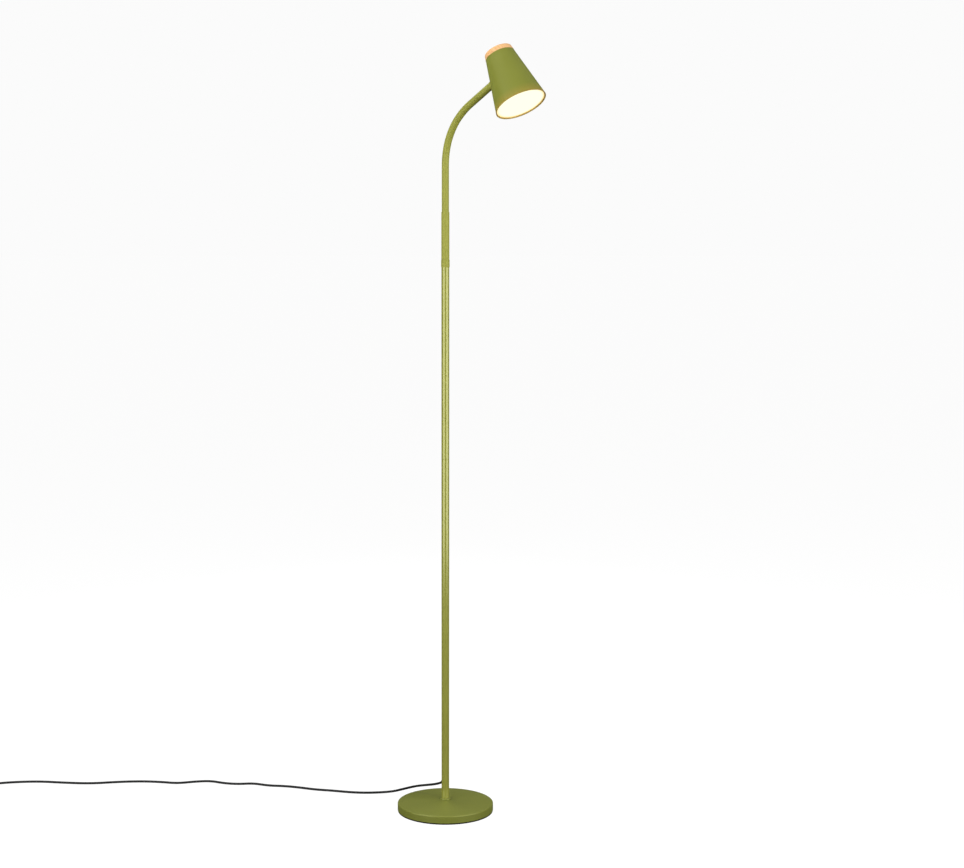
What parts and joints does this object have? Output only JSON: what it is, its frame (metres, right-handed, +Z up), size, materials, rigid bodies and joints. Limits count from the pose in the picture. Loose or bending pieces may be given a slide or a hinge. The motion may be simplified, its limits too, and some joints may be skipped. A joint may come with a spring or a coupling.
{
  "type": "adjustable arm floor lamp",
  "caption": "Slim floor lamp with a round weighted base, straight pole, flexible goose neck and conical LED head with a wooden cap.",
  "frame": {"origin": "centre of the base's underside, on the floor", "axes": "+Z up along the pole; +X the way the neck and the head reach; the cord leaves the back of the pole towards -X"},
  "size_m": [1.0829, 0.9065, 1.5708],
  "materials": {
    "olive_base": "fine matte powder coat",
    "olive_gloss": "semi-gloss paint",
    "olive_matte": "matte paint",
    "olive_shade": "satin paint",
    "beech": "clear satin lacquer",
    "black_pad": "matte foam rubber",
    "cast_weight": "rough casting",
    "plain_steel": "zinc plated",
    "hose_steel": "wound steel hose",
    "cast_zinc": "die cast",
    "bare_aluminium": "bare",
    "board_white": "white solder mask",
    "board_green": "green solder mask",
    "component_black": "moulded parts",
    "led_yellow": "phosphor",
    "reflector_white": "white moulding",
    "opal": "opal, lit",
    "cord_black": "satin cord sheath",
    "moulded_black": "fine moulded texture",
    "rocker_black": "satin moulding",
    "pin_brass": "nickel plated"
  },
  "bodies": {
    "stand": {"base_bolt": "plain_steel", "base_cover": "olive_base", "base_pad": "black_pad", "base_washer": "plain_steel", "base_weight": "cast_weight", "cord_coil": "cord_black", "cord_lead": "cord_black", "cord_relief": "olive_matte", "cord_tail": "cord_black", "cord_tie": "moulded_black", "foot_collar": "olive_gloss", "foot_insert": "plain_steel", "lower_pole": "olive_gloss", "neck_collar": "olive_gloss", "neck_ferrule": "olive_matte", "neck_hose_0": "hose_steel", "neck_sleeve_0": "olive_matte", "plug_body": "moulded_black", "plug_pins": "pin_brass", "plug_relief": "moulded_black", "pole_coupler": "plain_steel", "pole_lead": "cord_black", "switch_base": "moulded_black", "switch_cover": "moulded_black", "switch_screws": "plain_steel", "upper_pole": "olive_gloss"},
    "link_1": {"neck_hose_1": "hose_steel", "neck_sleeve_1": "olive_matte"},
    "link_2": {"neck_hose_2": "hose_steel", "neck_sleeve_2": "olive_matte"},
    "link_3": {"neck_hose_3": "hose_steel", "neck_sleeve_3": "olive_matte"},
    "link_4": {"neck_hose_4": "hose_steel", "neck_sleeve_4": "olive_matte"},
    "link_5": {"neck_hose_5": "hose_steel", "neck_sleeve_5": "olive_matte"},
    "link_6": {"neck_hose_6": "hose_steel", "neck_sleeve_6": "olive_matte"},
    "link_7": {"neck_hose_7": "hose_steel", "neck_sleeve_7": "olive_matte"},
    "head": {"cap_screw": "plain_steel", "diffuser": "opal", "driver_board": "board_green", "driver_parts": "component_black", "head_ferrule": "olive_matte", "heat_sink": "bare_aluminium", "led_board": "board_white", "leds": "led_yellow", "module_screws": "plain_steel", "neck_hose_8": "hose_steel", "neck_nipple": "plain_steel", "neck_nut": "plain_steel", "neck_saddle": "cast_zinc", "neck_sleeve_8": "olive_matte", "reflector": "reflector_white", "retaining_ring": "olive_shade", "shade": "olive_shade", "spacers": "plain_steel", "wood_cap": "beech"},
    "rocker": {"switch_rocker": "rocker_black"}
  },
  "joints": [
    {"name": "bend_1", "type": "hinge", "parent": "stand", "child": "link_1", "pos_m": [0, 0, 1.269], "axis": [0, 1, 0], "range_deg": [-20, 17]},
    {"name": "side_2", "type": "hinge", "parent": "link_1", "child": "link_2", "pos_m": [0, 0, 1.305], "axis": [1, 0, 0], "range_deg": [-16, 16]},
    {"name": "bend_3", "type": "hinge", "parent": "link_2", "child": "link_3", "pos_m": [0, 0, 1.341], "axis": [0, 1, 0], "range_deg": [-20, 17]},
    {"name": "side_4", "type": "hinge", "parent": "link_3", "child": "link_4", "pos_m": [0.00453, 0, 1.37662], "axis": [0.9681, 0, -0.2504], "range_deg": [-16, 16]},
    {"name": "bend_5", "type": "hinge", "parent": "link_4", "child": "link_5", "pos_m": [0.01832, 0, 1.40974], "axis": [0, 1, 0], "range_deg": [-20, 17]},
    {"name": "side_6", "type": "hinge", "parent": "link_5", "child": "link_6", "pos_m": [0.0408, 0, 1.43771], "axis": [0.6833, 0, -0.7302], "range_deg": [-16, 16]},
    {"name": "bend_7", "type": "hinge", "parent": "link_6", "child": "link_7", "pos_m": [0.06966, 0, 1.4591], "axis": [0, 1, 0], "range_deg": [-20, 17]},
    {"name": "side_8", "type": "hinge", "parent": "link_7", "child": "head", "pos_m": [0.10084, 0, 1.4771], "axis": [0.5, 0, -0.866], "range_deg": [-16, 16]},
    {"name": "switch_rocker", "type": "hinge", "parent": "stand", "child": "rocker", "pos_m": [-0.78249, -0.65285, 0.0156], "axis": [0.7835, 0.6214, 0], "range_deg": [-14, 0]}
  ],
  "couplings": [
    {"joint": "bend_3", "follows": "bend_1", "ratio": 1},
    {"joint": "side_4", "follows": "side_2", "ratio": 1},
    {"joint": "bend_5", "follows": "bend_1", "ratio": 1},
    {"joint": "side_6", "follows": "side_2", "ratio": 1},
    {"joint": "bend_7", "follows": "bend_1", "ratio": 1},
    {"joint": "side_8", "follows": "side_2", "ratio": 1}
  ]
}
